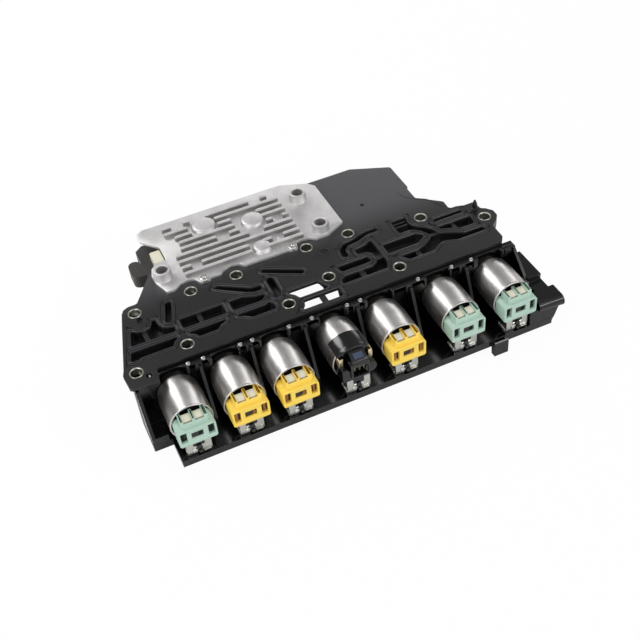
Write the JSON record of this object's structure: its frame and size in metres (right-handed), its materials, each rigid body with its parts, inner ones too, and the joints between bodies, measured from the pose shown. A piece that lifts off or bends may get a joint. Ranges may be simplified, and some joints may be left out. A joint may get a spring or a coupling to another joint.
{
  "type": "transmission control module",
  "caption": "Moulded channel plate with a gasketed face, a finned heat sink over its electronics and a row of solenoids in a tray along one edge.",
  "frame": {"origin": "a plain spot near the middle of the gasket face, with the part lying as pictured", "axes": "+X along the row of solenoids, +Y from the solenoids towards the heat sink, +Z out of the gasket face"},
  "size_m": [0.3028, 0.1914, 0.064],
  "materials": {
    "plate_plastic": "moulded glass-filled nylon, fine matt",
    "gasket_rubber": "satin bead",
    "tray_plastic": "glossy moulding",
    "cover_plastic": "fine matt",
    "bushing_steel": "turned and plated",
    "screw_steel": "plated",
    "can_steel": "drawn, bright",
    "sleeve_alloy": "turned",
    "spool_steel": "ground",
    "bracket_steel": "stamped, plated",
    "connector_green": "satin moulding",
    "connector_yellow": "satin moulding",
    "connector_black": "glossy moulding",
    "cast_alloy": "pressure die cast, fine grain",
    "board": "solder mask",
    "pad": "soft filled silicone",
    "plug_plastic": "satin moulding",
    "carrier_plastic": "satin moulding"
  },
  "bodies": {
    "module": {"bolt_bushing_01": "bushing_steel", "bolt_bushing_02": "bushing_steel", "bolt_bushing_03": "bushing_steel", "bolt_bushing_04": "bushing_steel", "bolt_bushing_05": "bushing_steel", "bolt_bushing_06": "bushing_steel", "bolt_bushing_07": "bushing_steel", "bolt_bushing_08": "bushing_steel", "bolt_bushing_09": "bushing_steel", "bolt_bushing_10": "bushing_steel", "bolt_bushing_11": "bushing_steel", "bolt_bushing_12": "bushing_steel", "channel_gasket": "gasket_rubber", "channel_plate": "plate_plastic", "control_board": "board", "harness_connector": "plug_plastic", "heat_sink": "cast_alloy", "rear_cover": "cover_plastic", "sink_screw_1": "screw_steel", "sink_screw_2": "screw_steel", "solenoid_1_bracket": "bracket_steel", "solenoid_1_can": "can_steel", "solenoid_1_connector": "connector_green", "solenoid_1_nose": "sleeve_alloy", "solenoid_2_bracket": "bracket_steel", "solenoid_2_can": "can_steel", "solenoid_2_connector": "connector_yellow", "solenoid_2_nose": "sleeve_alloy", "solenoid_3_bracket": "bracket_steel", "solenoid_3_can": "can_steel", "solenoid_3_connector": "connector_yellow", "solenoid_3_nose": "sleeve_alloy", "solenoid_4_bracket": "bracket_steel", "solenoid_4_can": "can_steel", "solenoid_4_connector": "connector_black", "solenoid_4_nose": "sleeve_alloy", "solenoid_5_bracket": "bracket_steel", "solenoid_5_can": "can_steel", "solenoid_5_connector": "connector_yellow", "solenoid_5_nose": "sleeve_alloy", "solenoid_6_bracket": "bracket_steel", "solenoid_6_can": "can_steel", "solenoid_6_connector": "connector_green", "solenoid_6_nose": "sleeve_alloy", "solenoid_7_bracket": "bracket_steel", "solenoid_7_can": "can_steel", "solenoid_7_connector": "connector_green", "solenoid_7_nose": "sleeve_alloy", "solenoid_tray": "tray_plastic", "terminal_carrier": "carrier_plastic", "thermal_pad": "pad"},
    "spool_1": {"solenoid_1_spool": "spool_steel"},
    "spool_2": {"solenoid_2_spool": "spool_steel"},
    "spool_3": {"solenoid_3_spool": "spool_steel"},
    "spool_4": {"solenoid_4_spool": "spool_steel"},
    "spool_5": {"solenoid_5_spool": "spool_steel"},
    "spool_6": {"solenoid_6_spool": "spool_steel"},
    "spool_7": {"solenoid_7_spool": "spool_steel"}
  },
  "joints": [
    {"name": "spool_slide_1", "type": "slide", "parent": "module", "child": "spool_1", "axis": [0, 1, 0], "range_m": [0, 0.002], "stiffness_N_per_m": 400},
    {"name": "spool_slide_2", "type": "slide", "parent": "module", "child": "spool_2", "axis": [0, 1, 0], "range_m": [0, 0.002], "stiffness_N_per_m": 400},
    {"name": "spool_slide_3", "type": "slide", "parent": "module", "child": "spool_3", "axis": [0, 1, 0], "range_m": [0, 0.002], "stiffness_N_per_m": 400},
    {"name": "spool_slide_4", "type": "slide", "parent": "module", "child": "spool_4", "axis": [0, 1, 0], "range_m": [0, 0.002], "stiffness_N_per_m": 400},
    {"name": "spool_slide_5", "type": "slide", "parent": "module", "child": "spool_5", "axis": [0, 1, 0], "range_m": [0, 0.002], "stiffness_N_per_m": 400},
    {"name": "spool_slide_6", "type": "slide", "parent": "module", "child": "spool_6", "axis": [0, 1, 0], "range_m": [0, 0.002], "stiffness_N_per_m": 400},
    {"name": "spool_slide_7", "type": "slide", "parent": "module", "child": "spool_7", "axis": [0, 1, 0], "range_m": [0, 0.002], "stiffness_N_per_m": 400}
  ]
}
